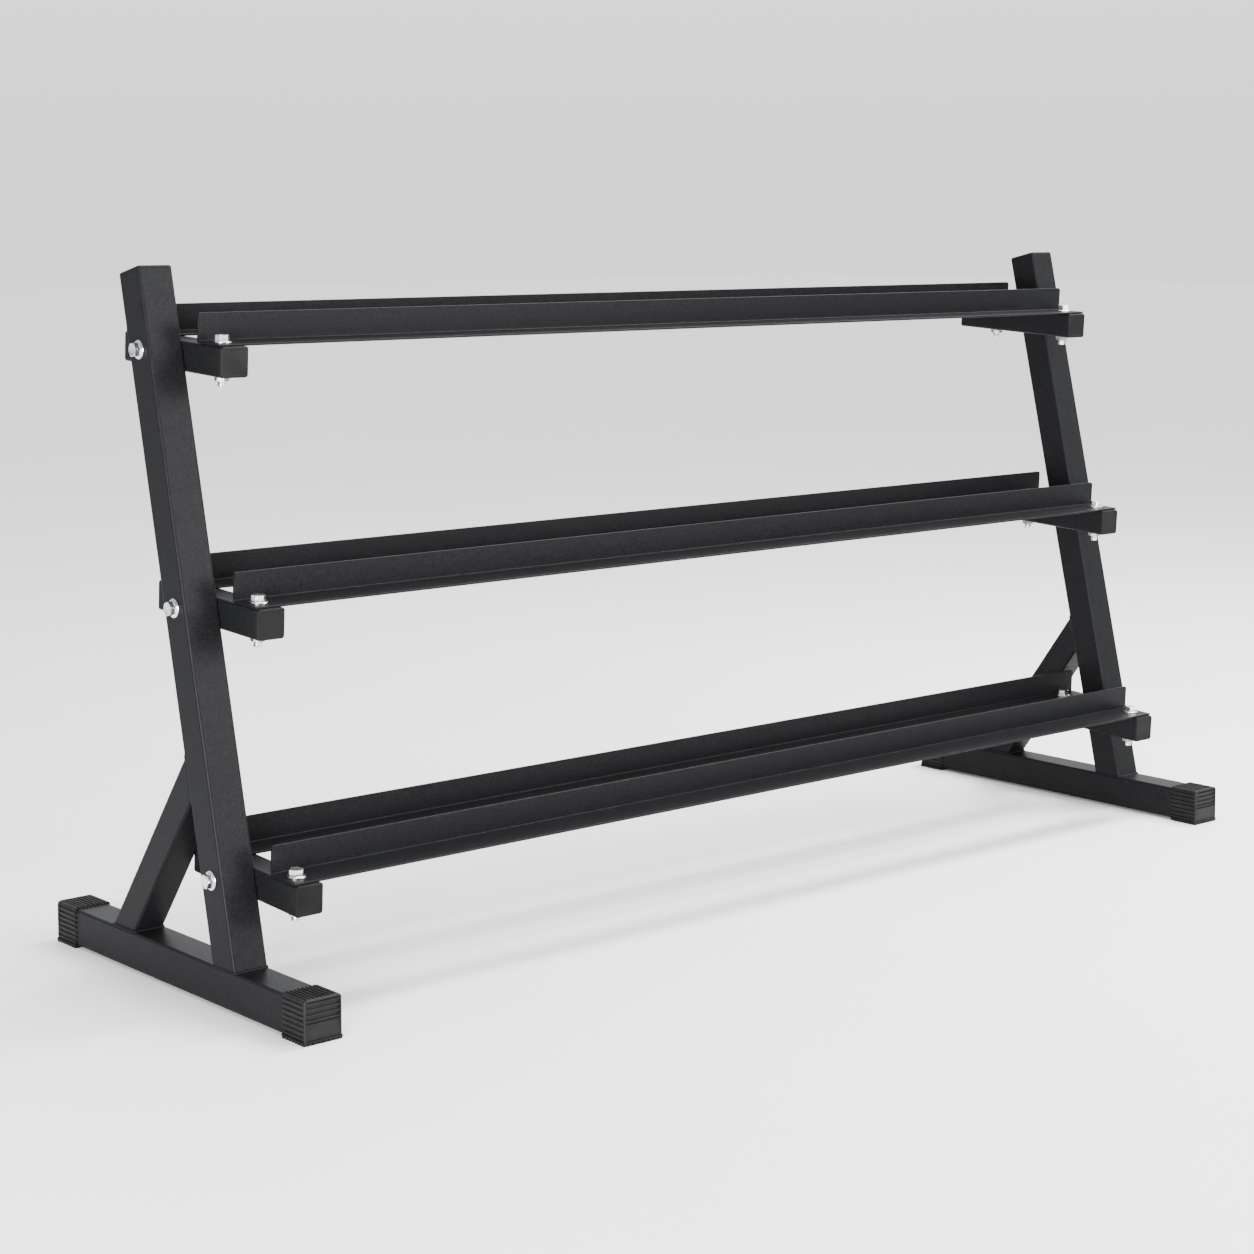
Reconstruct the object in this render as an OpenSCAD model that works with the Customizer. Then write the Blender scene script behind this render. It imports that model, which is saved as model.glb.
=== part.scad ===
// Three-tier dumbbell rack: two leaning side frames joined by six bolted angle rails.
// X runs along the rails, the front is -Y and the floor is Z = 0.

/* [Overall size] */
// Distance between the outer faces of the two uprights
frame_w = 1886; // [1200:2:2400]
// Length of each foot over its end caps
foot_total_l = 640; // [560:2:760]
// Height of the uprights' front top edge above the floor
rack_h = 982; // [940:1:1100]

/* [Side frames] */
// Side of the square tube used for the feet and uprights
tube = 53; // [45:1:60]
// Wall thickness of every tube
wall = 3; // [2:0.5:4]
// Outer corner radius of the tubes
corner_r = 4; // [2:0.5:6]
// How far the uprights lean back, in degrees
lean = 13.2; // [8:0.2:16]
// Front face of the upright where it meets the foot, ahead of the foot's middle
upright_base = 152; // [120:1:180]
// Side of the square tube used for the diagonal braces
brace_tube = 47; // [40:1:50]
// Middle of the brace where it meets the foot, behind the foot's middle
brace_foot_y = 139; // [120:1:160]
// Height of the brace's middle on the upright's rear face
brace_top_z = 300; // [298:1:340]
// Leg length of the fillet welds
weld_leg = 5; // [3:0.5:7]

/* [Shelves] */
// Side of the square tube used for the shelf arms
arm = 42; // [36:1:44]
// Length of the arms' tubes
arm_l = 246; // [220:2:280]
// How far the front end of an arm stands out ahead of the upright
arm_reach = 94.5; // [70:0.5:110]
// Forward slope of the shelves, in degrees
slope = 3; // [0:0.5:8]
// Height of the top shelf's arms, at the middle of their tubes
top_arm_z = 860; // [800:1:900]
// Height of the middle shelf's arms
middle_arm_z = 517.5; // [480:0.5:560]
// Height of the bottom shelf's arms
bottom_arm_z = 163; // [130:1:200]

/* [Angle rails] */
// Thickness of the angle rails
rail_t = 3; // [2:0.5:5]
// Height of the upright lip, from the underside of the rail
lip_h = 41; // [30:1:60]
// Depth of the front rails' flat flange
front_flange = 58; // [45:1:65]
// Depth of the rear rails' flat flange
rear_flange = 48; // [45:1:54]
// Front edge of the front rail, behind the arm's front end
front_rail_y = 5; // [2:1:10]
// Front edge of the rear rail, behind the arm's front end
rear_rail_y = 157; // [157:1:160]
// How far the rear rails run past the arms at each end
rear_overrun = 25; // [0:1:40]
// Radius of the rounded corners at the rails' ends
rail_corner_r = 4; // [2:0.5:8]

/* [Caps and plugs] */
// Length of each foot cap, with its end wall
cap_l = 53; // [40:1:70]
// Thickness of the foot caps' walls, ribs included
cap_wall = 3.5; // [3:0.5:5]
// Thickness of the plug heads that close the tubes
plug_head = 4; // [3:0.5:6]
// Depth of the plug bodies inside the tubes
plug_depth = 18; // [12:1:25]

/* [Hardware] */
// Thread diameter of the bolts
bolt_d = 12; // [10:1:12]
// Size across the flats of the bolt heads and nuts
hex_af = 18; // [16:1:19]
// Diameter of the flanges on bolts and nuts
bolt_flange_d = 26; // [24:1:28]
// Height of the hexagon of a bolt head
head_h = 8.5; // [7:0.5:10]
// Length under the head of the rail bolts
rail_bolt_l = 60; // [56:1:64]
// Length under the head of the arm bolts
arm_bolt_l = 70; // [66:1:75]
// Front rail bolts, behind the arm's front end
front_bolt_y = 33; // [30:1:36]
// Rear rail bolts, behind the arm's front end
rear_bolt_y = 185; // [182:1:186]
// Arm bolts, above the middle of the arm
arm_bolt_rise = 8; // [0:0.5:8]

/* [Hidden] */

// Colours
steel_black = [0.05, 0.05, 0.055];
rubber_black = [0.07, 0.07, 0.07];
plastic_black = [0.06, 0.06, 0.06];
zinc_silver = [0.75, 0.76, 0.78];

// Sides and tiers
LEFT = -1;
RIGHT = 1;
TOP = top_arm_z;
MIDDLE = middle_arm_z;
BOTTOM = bottom_arm_z;
SIDES = [LEFT, RIGHT];
TIERS = [TOP, MIDDLE, BOTTOM];
eps = 0.01;
far = 400;

// Places worked out from the driving dimensions
outer_x = frame_w / 2;
frame_x = outer_x - tube / 2;
inner_x = outer_x - tube;
arm_x = inner_x - arm / 2;
foot_z = cap_wall;
foot_top = foot_z + tube;
foot_tube_l = foot_total_l - 2 * cap_wall;
upright_l = (rack_h - foot_top) / cos(lean);
front_rail_half = inner_x;
rear_rail_half = inner_x + rear_overrun;
arm_full_l = arm_l + 2 * plug_head;

// Front face of the upright at a height
function upright_y(z) = (z - foot_top) * tan(lean) - upright_base;

// Middle of the arms of a tier, front to back
function arm_y(tier) = upright_y(tier) - arm_reach + arm_full_l / 2;

// Axis of an arm bolt: its height, and the middle of the upright there
function arm_bolt_z(tier) = tier + arm_bolt_rise;
function arm_bolt_y(tier) = upright_y(arm_bolt_z(tier)) + tube / 2 / cos(lean);

// Place along an arm, measured back from its front end, in the arm's own frame
function along_arm(d) = d - arm_full_l / 2;

// Clearances and small shapes
hole_play = 0.5;
thread_play = 0.1;
cap_play = 0.1;
plug_play = 0.2;
flange_h = 2;
nut_h = 5;
weld_nut_h = 10;
bend_r = 4;
inner_bend_r = 0.5;
arc_steps = 8;
rib = 0.8;
rib_w = 2.4;
side_ribs = 7;
top_ribs = 8;
end_ribs = 4;
cap_corner_r = 6;
tread_w = 3;
tread_h = 3;
treads = 8;
plug_step = 1.5;
fin_h = 1.2;
smooth = 48;

// ---------- shared outlines ----------

// Square with round corners, centred
module round_square(side, r) {
    square([side - 2 * r, side], center = true);
    square([side, side - 2 * r], center = true);
    for (x = [-1, 1], y = [-1, 1])
        translate([x * (side / 2 - r), y * (side / 2 - r)])
            circle(r = r, $fn = smooth);
}

// Square tube along Z, centred on its axis
module square_tube(side, length) {
    difference() {
        linear_extrude(length)
            round_square(side, corner_r);
        translate([0, 0, -eps])
            linear_extrude(length + 2 * eps)
                round_square(side - 2 * wall, corner_r - wall + 0.5);
    }
}

// Frame of one arm: origin at the middle of the tube, +Y to its rear
module arm_frame(tier) {
    translate([0, arm_y(tier), tier])
        rotate([slope, 0, 0])
            children();
}

// Frame of an upright: origin on its axis at the foot, +Z along it
module upright_frame(side) {
    translate([side * frame_x, -upright_base, foot_top])
        rotate([-lean, 0, 0])
            translate([0, tube / 2, 0])
                children();
}

// ---------- side frames ----------

module foot_tube(side) {
    color(steel_black)
        translate([side * frame_x, foot_tube_l / 2, foot_z + tube / 2])
            rotate([90, 0, 0])
                square_tube(tube, foot_tube_l);
}

module upright(side) {
    color(steel_black)
        difference() {
            upright_frame(side)
                translate([0, 0, -tube / 2])
                    square_tube(tube, upright_l - plug_head + tube / 2);
            translate([side * frame_x - far / 2, -far, foot_top - far])
                cube([far, 2 * far, far]);
            for (tier = TIERS)
                arm_bolt_hole(side, tier);
        }
}

module arm_bolt_hole(side, tier) {
    translate([side * (outer_x + 1), arm_bolt_y(tier), arm_bolt_z(tier)])
        rotate([0, -side * 90, 0])
            cylinder(d = bolt_d + 2 * hole_play, h = tube + wall + 2, $fn = smooth);
}

// The brace's middle line runs from the foot's top to the upright's rear face
brace_top_y = upright_y(brace_top_z) + tube / cos(lean);
brace_rise = brace_top_z - foot_top;
brace_run = brace_foot_y - brace_top_y;
brace_angle = atan2(brace_run, brace_rise);
brace_l = norm([brace_rise, brace_run]);

module brace(side) {
    color(steel_black)
        difference() {
            translate([side * frame_x, brace_foot_y, foot_top])
                rotate([brace_angle, 0, 0])
                    translate([0, 0, -brace_tube])
                        square_tube(brace_tube, brace_l + 2 * brace_tube);
            translate([side * frame_x - far / 2, -far, foot_top - far])
                cube([far, 2 * far, far]);
            upright_frame(side)
                translate([-far / 2, tube / 2 - far, -far])
                    cube([far, far, 4 * far]);
        }
}

// A fillet weld: a triangle whose two legs lie on the welded faces, drawn across the tube
module weld_bead(side, corner, leg_a, leg_b, width) {
    translate([side * frame_x - width / 2, 0, 0])
        rotate([90, 0, 90])
            linear_extrude(width)
                polygon([corner, corner + weld_leg * leg_a, corner + weld_leg * leg_b]);
}

upright_dir = [sin(lean), cos(lean)];
brace_dir = [-sin(brace_angle), cos(brace_angle)];
brace_half_cut = brace_tube / 2 / cos(brace_angle);
brace_half_top = brace_tube / 2 / sin(brace_angle + lean);
brace_top = [brace_top_y, brace_top_z];
forward = [-1, 0];
backward = [1, 0];

module welds(side) {
    color(steel_black) {
        weld_bead(side, [-upright_base, foot_top], forward, upright_dir, tube - 2 * corner_r);
        weld_bead(side, [tube / cos(lean) - upright_base, foot_top], backward, upright_dir,
            tube - 2 * corner_r);
        weld_bead(side, [brace_foot_y - brace_half_cut, foot_top], forward, brace_dir,
            brace_tube - 2 * corner_r);
        weld_bead(side, [brace_foot_y + brace_half_cut, foot_top], backward, brace_dir,
            brace_tube - 2 * corner_r);
        weld_bead(side, brace_top + brace_half_top * upright_dir, upright_dir, -brace_dir,
            brace_tube - 2 * corner_r);
        weld_bead(side, brace_top - brace_half_top * upright_dir, -upright_dir, -brace_dir,
            brace_tube - 2 * corner_r);
    }
}

// ---------- caps and plugs ----------

// Plug for the end of a tube: +Z points out of the tube, and the head sits on its end
module plug(side) {
    inside = side - 2 * wall - 2 * plug_play;
    linear_extrude(plug_head - plug_step)
        round_square(side, corner_r);
    translate([0, 0, plug_head - plug_step])
        linear_extrude(plug_step)
            round_square(side - 2 * plug_step, corner_r - plug_step / 2);
    translate([0, 0, -plug_depth])
        difference() {
            linear_extrude(plug_depth)
                round_square(inside - 2 * fin_h, 2);
            translate([0, 0, -eps])
                linear_extrude(plug_depth - 2)
                    round_square(inside - 2 * fin_h - 4, 2);
        }
    for (level = [1 : 3])
        translate([0, 0, -level * plug_depth / 4])
            difference() {
                linear_extrude(fin_h)
                    round_square(inside, 2);
                translate([0, 0, -eps])
                    linear_extrude(fin_h + 2 * eps)
                        round_square(inside - 2 * fin_h - eps, 2);
            }
}

module upright_plug(side) {
    color(plastic_black)
        upright_frame(side)
            translate([0, 0, upright_l - plug_head])
                plug(tube);
}

module arm_front_plug(side, tier) {
    color(plastic_black)
        arm_frame(tier)
            translate([side * arm_x, -arm_l / 2, 0])
                rotate([90, 0, 0])
                    plug(arm);
}

module arm_rear_plug(side, tier) {
    color(plastic_black)
        arm_frame(tier)
            translate([side * arm_x, arm_l / 2, 0])
                rotate([-90, 0, 0])
                    plug(arm);
}

// Cross-section of a foot cap's sleeve, ribs included; the tube's underside is at y = cap_wall
module cap_outline() {
    side = tube + 2 * cap_wall;
    core = side - 2 * rib;
    translate([0, side / 2]) {
        round_square(core, cap_corner_r);
        translate([-core / 2, -side / 2])
            square([core, side / 2]);
        for (i = [0 : side_ribs - 1])
            translate([-side / 2, (i - side_ribs / 2) * (side - cap_corner_r) / side_ribs])
                square([side, rib_w]);
        for (i = [0 : top_ribs - 1])
            translate([(i - (top_ribs - 1) / 2) * (side - 2 * cap_corner_r) / top_ribs - rib_w / 2, 0])
                square([rib_w, side / 2]);
    }
}

// Foot cap: end = -1 at the front of the foot, 1 at the rear
module foot_cap(side, end) {
    outer = tube + 2 * cap_wall;
    pitch = outer / 14;
    color(rubber_black)
        translate([side * frame_x, end * foot_total_l / 2, 0])
            rotate([90, 0, end > 0 ? 0 : 180]) {
                difference() {
                    translate([0, 0, rib])
                        linear_extrude(cap_l - rib)
                            cap_outline();
                    translate([0, outer / 2, cap_wall])
                        linear_extrude(cap_l)
                            round_square(tube + 2 * cap_play, corner_r);
                }
                for (i = [0 : end_ribs - 1])
                    translate([rib - outer / 2, outer - cap_corner_r - rib_w - i * 2 * pitch, 0])
                        cube([outer - 2 * rib, rib_w, 2 * rib]);
                translate([-outer / 2 + rib, tread_h, 0])
                    cube([outer - 2 * rib, rib_w, 2 * rib]);
                for (i = [0 : treads - 1])
                    translate([(i - (treads - 1) / 2) * outer / treads - tread_w / 2, 0, 0])
                        cube([tread_w, tread_h + 1, 2 * rib]);
            }
}

// ---------- shelves ----------

module shelf_arm(side, tier) {
    color(steel_black)
        difference() {
            arm_frame(tier)
                difference() {
                    translate([side * arm_x, arm_l / 2, 0])
                        rotate([90, 0, 0])
                            square_tube(arm, arm_l);
                    for (d = [front_bolt_y, rear_bolt_y])
                        translate([side * arm_x, along_arm(d), -arm])
                            cylinder(d = bolt_d + 2 * hole_play, h = 2 * arm, $fn = smooth);
                }
            arm_bolt_hole(side, tier);
        }
}

// Points on an arc round a centre, from one angle to another
function arc(centre, r, from, to) =
    [for (i = [0 : arc_steps]) let (a = from + (to - from) * i / arc_steps)
        centre + r * [cos(a), sin(a)]];

// Rail cross-section: the flange runs back along +X of the outline to a lip that stands up
module rail_outline(flange) {
    inner = bend_r - rail_t + inner_bend_r;
    polygon(concat(
        [[0, 0]],
        arc([flange - bend_r, bend_r], bend_r, -90, 0),
        [[flange, lip_h], [flange - rail_t, lip_h]],
        arc([flange - rail_t - inner, rail_t + inner], inner, 0, -90),
        [[0, rail_t]]
    ));
}

// Rounds one corner of a plate: a square less a quarter circle, cut through along Z
module corner_cut(r) {
    difference() {
        translate([-eps, -eps, -far / 2])
            cube([r + eps, r + eps, far]);
        translate([r, r, -far / 2])
            cylinder(r = r, h = far, $fn = smooth);
    }
}

module rail(tier, front_y, flange, half_l) {
    color(steel_black)
        arm_frame(tier)
            difference() {
                translate([-half_l, along_arm(front_y), arm / 2])
                    rotate([90, 0, 90])
                        linear_extrude(2 * half_l)
                            rail_outline(flange);
                for (side = SIDES) {
                    bolt_y = front_y == front_rail_y ? front_bolt_y : rear_bolt_y;
                    translate([side * arm_x, along_arm(bolt_y), 0])
                        cylinder(d = bolt_d + 2 * hole_play, h = arm, $fn = smooth);
                    // top corner of the lip
                    translate([side * half_l, along_arm(front_y + flange), arm / 2 + lip_h])
                        rotate([90, 0, 0])
                            scale([-side, -1, 1])
                                corner_cut(rail_corner_r);
                }
            }
}

module front_rail(tier) {
    rail(tier, front_rail_y, front_flange, front_rail_half);
}

module rear_rail(tier) {
    rail(tier, rear_rail_y, rear_flange, rear_rail_half);
}

// ---------- hardware ----------

// Flanged hexagon bolt: +Z points from its head's seat out through the head
module flange_bolt(length) {
    cylinder(d = bolt_flange_d, h = flange_h, $fn = smooth);
    cylinder(d = hex_af / cos(30), h = flange_h + head_h, $fn = 6);
    translate([0, 0, -length])
        cylinder(d = bolt_d, h = length + eps, $fn = smooth);
}

// Flanged hexagon nut: its seat is at Z = 0 and it stands up along +Z
module flange_nut(height, flange) {
    difference() {
        union() {
            cylinder(d = hex_af / cos(30), h = height, $fn = 6);
            if (flange > 0)
                cylinder(d = bolt_flange_d - 2, h = flange, $fn = smooth);
        }
        translate([0, 0, -1])
            cylinder(d = bolt_d + 2 * thread_play, h = height + 2, $fn = smooth);
    }
}

module arm_bolt(side, tier) {
    color(zinc_silver)
        translate([side * outer_x, arm_bolt_y(tier), arm_bolt_z(tier)])
            rotate([0, side * 90, 0])
                flange_bolt(arm_bolt_l);
}

module weld_nuts(side) {
    color(steel_black)
        for (tier = TIERS)
            translate([side * (inner_x - wall), arm_bolt_y(tier), arm_bolt_z(tier)])
                rotate([0, -side * 90, 0])
                    rotate([0, 0, 30 + side * slope])
                        flange_nut(weld_nut_h, 0);
}

module rail_bolts(tier) {
    color(zinc_silver)
        arm_frame(tier)
            for (side = SIDES, d = [front_bolt_y, rear_bolt_y])
                translate([side * arm_x, along_arm(d), arm / 2 + rail_t])
                    flange_bolt(rail_bolt_l);
}

module rail_nuts(tier) {
    color(zinc_silver)
        arm_frame(tier)
            for (side = SIDES, d = [front_bolt_y, rear_bolt_y])
                translate([side * arm_x, along_arm(d), -arm / 2])
                    rotate([180, 0, 0])
                        flange_nut(flange_h + nut_h, flange_h - 0.5);
}

// ---------- the parts ----------

foot_tube(LEFT);  // left_foot_tube
foot_tube(RIGHT);  // right_foot_tube
upright(LEFT);  // left_upright
upright(RIGHT);  // right_upright
brace(LEFT);  // left_brace
brace(RIGHT);  // right_brace
welds(LEFT);  // left_welds
welds(RIGHT);  // right_welds
upright_plug(LEFT);  // left_upright_plug
upright_plug(RIGHT);  // right_upright_plug
foot_cap(LEFT, -1);  // left_front_foot_cap
foot_cap(LEFT, 1);  // left_rear_foot_cap
foot_cap(RIGHT, -1);  // right_front_foot_cap
foot_cap(RIGHT, 1);  // right_rear_foot_cap
shelf_arm(LEFT, TOP);  // left_top_arm
shelf_arm(LEFT, MIDDLE);  // left_middle_arm
shelf_arm(LEFT, BOTTOM);  // left_bottom_arm
shelf_arm(RIGHT, TOP);  // right_top_arm
shelf_arm(RIGHT, MIDDLE);  // right_middle_arm
shelf_arm(RIGHT, BOTTOM);  // right_bottom_arm
arm_front_plug(LEFT, TOP);  // left_top_front_plug
arm_front_plug(LEFT, MIDDLE);  // left_middle_front_plug
arm_front_plug(LEFT, BOTTOM);  // left_bottom_front_plug
arm_front_plug(RIGHT, TOP);  // right_top_front_plug
arm_front_plug(RIGHT, MIDDLE);  // right_middle_front_plug
arm_front_plug(RIGHT, BOTTOM);  // right_bottom_front_plug
arm_rear_plug(LEFT, TOP);  // left_top_rear_plug
arm_rear_plug(LEFT, MIDDLE);  // left_middle_rear_plug
arm_rear_plug(LEFT, BOTTOM);  // left_bottom_rear_plug
arm_rear_plug(RIGHT, TOP);  // right_top_rear_plug
arm_rear_plug(RIGHT, MIDDLE);  // right_middle_rear_plug
arm_rear_plug(RIGHT, BOTTOM);  // right_bottom_rear_plug
front_rail(TOP);  // top_front_rail
front_rail(MIDDLE);  // middle_front_rail
front_rail(BOTTOM);  // bottom_front_rail
rear_rail(TOP);  // top_rear_rail
rear_rail(MIDDLE);  // middle_rear_rail
rear_rail(BOTTOM);  // bottom_rear_rail
arm_bolt(LEFT, TOP);  // left_top_arm_bolt
arm_bolt(LEFT, MIDDLE);  // left_middle_arm_bolt
arm_bolt(LEFT, BOTTOM);  // left_bottom_arm_bolt
arm_bolt(RIGHT, TOP);  // right_top_arm_bolt
arm_bolt(RIGHT, MIDDLE);  // right_middle_arm_bolt
arm_bolt(RIGHT, BOTTOM);  // right_bottom_arm_bolt
weld_nuts(LEFT);  // left_weld_nuts
weld_nuts(RIGHT);  // right_weld_nuts
rail_bolts(TOP);  // top_rail_bolts
rail_bolts(MIDDLE);  // middle_rail_bolts
rail_bolts(BOTTOM);  // bottom_rail_bolts
rail_nuts(TOP);  // top_rail_nuts
rail_nuts(MIDDLE);  // middle_rail_nuts
rail_nuts(BOTTOM);  // bottom_rail_nuts
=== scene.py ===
"""Three-tier dumbbell rack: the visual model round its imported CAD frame. Lengths are in metres."""

import math

import bmesh
import bpy
from mathutils import Matrix, Vector


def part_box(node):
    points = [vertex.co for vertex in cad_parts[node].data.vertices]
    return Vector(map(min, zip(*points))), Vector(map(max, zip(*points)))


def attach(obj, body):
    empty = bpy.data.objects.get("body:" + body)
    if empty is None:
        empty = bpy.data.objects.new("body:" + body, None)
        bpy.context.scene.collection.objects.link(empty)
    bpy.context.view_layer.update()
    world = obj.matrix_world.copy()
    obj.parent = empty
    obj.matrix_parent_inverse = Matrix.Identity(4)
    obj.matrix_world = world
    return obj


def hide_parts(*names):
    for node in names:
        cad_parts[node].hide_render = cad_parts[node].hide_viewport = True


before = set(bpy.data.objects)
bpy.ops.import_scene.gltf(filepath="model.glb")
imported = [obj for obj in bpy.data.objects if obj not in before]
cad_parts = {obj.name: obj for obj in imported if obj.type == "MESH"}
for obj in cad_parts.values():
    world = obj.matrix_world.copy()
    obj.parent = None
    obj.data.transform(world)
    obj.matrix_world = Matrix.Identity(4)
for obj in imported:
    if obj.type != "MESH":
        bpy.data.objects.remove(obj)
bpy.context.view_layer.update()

# ---------------------------------------------------------------- sizes shared with the CAD
MM = 0.001
TUBE = 53 * MM
BRACE_TUBE = 47 * MM
ARM = 42 * MM
WALL = 3 * MM
CORNER_R = 4 * MM
LEAN = math.radians(13.2)
SLOPE = math.radians(3)
ARM_FULL_L = 254 * MM
PLUG_HEAD = 4 * MM
PLUG_DEPTH = 18 * MM
RAIL_T = 3 * MM
LIP_H = 41 * MM
BEND_R = 4 * MM
INNER_BEND_R = 1.5 * MM
RAIL_EDGE_R = 1.1 * MM
RAIL_CORNER_R = 5 * MM
FLANGE_Y = {"front": (5 * MM, 58 * MM), "rear": (157 * MM, 48 * MM)}
BOLT_Y = {"front": 33 * MM, "rear": 185 * MM}
BOLT_D = 12 * MM
HEX_AF = 18 * MM
BOLT_FLANGE_D = 26 * MM
NUT_FLANGE_D = 24 * MM
BOLT_FLANGE_H = 2 * MM
HEAD_H = 8.5 * MM
NUT_H = 5 * MM
RAIL_BOLT_L = 60 * MM
ARM_BOLT_L = 70 * MM
HOLE_D = 13 * MM
THREAD_PITCH = 1.75 * MM
WELD_NUT_H = 10 * MM
CAP_L = 53 * MM
CAP_WALL = 3.5 * MM
WELD_R = 2.6 * MM

SIDES = {"left": -1, "right": 1}
TIERS = ("top", "middle", "bottom")
ENDS = {"front": -1, "rear": 1}

# ---------------------------------------------------------------- places read from the frame


def middle(node):
    low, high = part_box(node)
    return (low + high) / 2


FRAME_X = middle("right_foot_tube").x
ARM_X = middle("right_top_arm").x
OUTER_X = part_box("right_upright")[1].x
UPRIGHT_BASE_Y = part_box("right_upright")[0].y
FOOT_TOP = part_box("right_foot_tube")[1].z


def arm_frame(tier):
    """Origin at the middle of the tier's arm tubes, between the two sides, +Y to the rear."""
    centre = middle(f"right_{tier}_arm")
    return Matrix.Translation((0, centre.y, centre.z)) @ Matrix.Rotation(SLOPE, 4, "X")


def upright_frame(side):
    """Origin on the upright's axis at the foot's top, +Z along the upright."""
    place = Matrix.Translation((SIDES[side] * FRAME_X, UPRIGHT_BASE_Y, FOOT_TOP))
    return place @ Matrix.Rotation(-LEAN, 4, "X") @ Matrix.Translation((0, TUBE / 2, 0))


def along_arm(distance):
    return distance - ARM_FULL_L / 2


# ---------------------------------------------------------------- materials


def new_material(name):
    mat = bpy.data.materials.new(name)
    mat.use_nodes = True
    tree = mat.node_tree
    tree.nodes.clear()
    out = tree.nodes.new("ShaderNodeOutputMaterial")
    shader = tree.nodes.new("ShaderNodeBsdfPrincipled")
    tree.links.new(shader.outputs["BSDF"], out.inputs["Surface"])
    return mat, tree, shader


def noise(tree, scale, detail=3.0, roughness=0.5, stretch=(1, 1, 1)):
    """Noise in object space, stretched if asked: its factor output."""
    where = tree.nodes.new("ShaderNodeTexCoord")
    mapping = tree.nodes.new("ShaderNodeMapping")
    mapping.inputs["Scale"].default_value = stretch
    tree.links.new(where.outputs["Object"], mapping.inputs["Vector"])
    node = tree.nodes.new("ShaderNodeTexNoise")
    node.inputs["Scale"].default_value = scale
    node.inputs["Detail"].default_value = detail
    node.inputs["Roughness"].default_value = roughness
    tree.links.new(mapping.outputs["Vector"], node.inputs["Vector"])
    return node.outputs["Fac"]


def ramp(tree, source, low, high, start=0.3, end=0.7):
    """A factor turned into a value between low and high."""
    node = tree.nodes.new("ShaderNodeMapRange")
    node.inputs["From Min"].default_value = start
    node.inputs["From Max"].default_value = end
    node.inputs["To Min"].default_value = low
    node.inputs["To Max"].default_value = high
    tree.links.new(source, node.inputs["Value"])
    return node.outputs["Result"]


def blend_colours(tree, factor, dark, light):
    node = tree.nodes.new("ShaderNodeMix")
    node.data_type = "RGBA"
    node.inputs["A"].default_value = (*dark, 1)
    node.inputs["B"].default_value = (*light, 1)
    tree.links.new(factor, node.inputs["Factor"])
    return node.outputs["Result"]


def bump(tree, height, strength, distance, normal=None):
    node = tree.nodes.new("ShaderNodeBump")
    node.inputs["Strength"].default_value = strength
    node.inputs["Distance"].default_value = distance
    tree.links.new(height, node.inputs["Height"])
    if normal is not None:
        tree.links.new(normal, node.inputs["Normal"])
    return node.outputs["Normal"]


def powder_coat_material():
    """Satin black powder coat: fine pebbled texture over a faint orange peel."""
    mat, tree, shader = new_material("powder_coat")
    mottle = ramp(tree, noise(tree, 330, 3, 0.6), 0, 1)
    colour = blend_colours(tree, mottle, (0.0028, 0.0029, 0.0032), (0.0076, 0.0078, 0.0084))
    tree.links.new(colour, shader.inputs["Base Color"])
    fine = noise(tree, 1300, 2, 0.6)
    pebble = noise(tree, 420, 3, 0.6)
    shine = ramp(tree, pebble, 0.35, 0.47)
    tree.links.new(shine, shader.inputs["Roughness"])
    peel = bump(tree, pebble, 0.45, 0.00022)
    tree.links.new(bump(tree, fine, 0.35, 0.00010, peel), shader.inputs["Normal"])
    shader.inputs["Specular IOR Level"].default_value = 0.05
    return mat


def rubber_material():
    """Matt black moulded rubber with a soft grain."""
    mat, tree, shader = new_material("rubber")
    tone = ramp(tree, noise(tree, 45, 5, 0.6), 0, 1)
    colour = blend_colours(tree, tone, (0.0026, 0.0026, 0.0028), (0.0066, 0.0066, 0.0070))
    tree.links.new(colour, shader.inputs["Base Color"])
    grain = noise(tree, 1500, 2)
    tree.links.new(ramp(tree, grain, 0.44, 0.56), shader.inputs["Roughness"])
    tree.links.new(bump(tree, grain, 0.35, 0.00010), shader.inputs["Normal"])
    shader.inputs["Specular IOR Level"].default_value = 0.13
    return mat


def plastic_material():
    """Satin black injection-moulded plastic with a fine spark-eroded texture."""
    mat, tree, shader = new_material("plastic")
    tone = ramp(tree, noise(tree, 30, 4), 0, 1)
    colour = blend_colours(tree, tone, (0.0035, 0.0035, 0.0037), (0.0070, 0.0070, 0.0074))
    tree.links.new(colour, shader.inputs["Base Color"])
    grain = noise(tree, 1800, 3, 0.6)
    tree.links.new(ramp(tree, grain, 0.40, 0.52), shader.inputs["Roughness"])
    tree.links.new(bump(tree, grain, 0.25, 0.00008), shader.inputs["Normal"])
    shader.inputs["Specular IOR Level"].default_value = 0.06
    return mat


def zinc_material(name, dark, light, shine):
    """Zinc plate: clear metal with a faint cloudiness and fine marks."""
    mat, tree, shader = new_material(name)
    shader.inputs["Metallic"].default_value = 1.0
    cloud = ramp(tree, noise(tree, 160, 4, 0.6), 0, 1)
    tree.links.new(blend_colours(tree, cloud, dark, light), shader.inputs["Base Color"])
    tree.links.new(ramp(tree, noise(tree, 420, 3), *shine), shader.inputs["Roughness"])
    marks = noise(tree, 900, 2)
    tree.links.new(bump(tree, marks, 0.08, 0.00003), shader.inputs["Normal"])
    return mat


def floor_material():
    """Plain pale floor with a very soft variation in its sheen."""
    mat, tree, shader = new_material("floor")
    tone = ramp(tree, noise(tree, 1.2, 3), 0, 1)
    colour = blend_colours(tree, tone, (0.70, 0.70, 0.70), (0.73, 0.73, 0.73))
    tree.links.new(colour, shader.inputs["Base Color"])
    tree.links.new(ramp(tree, noise(tree, 60, 3), 0.55, 0.70), shader.inputs["Roughness"])
    return mat


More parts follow.
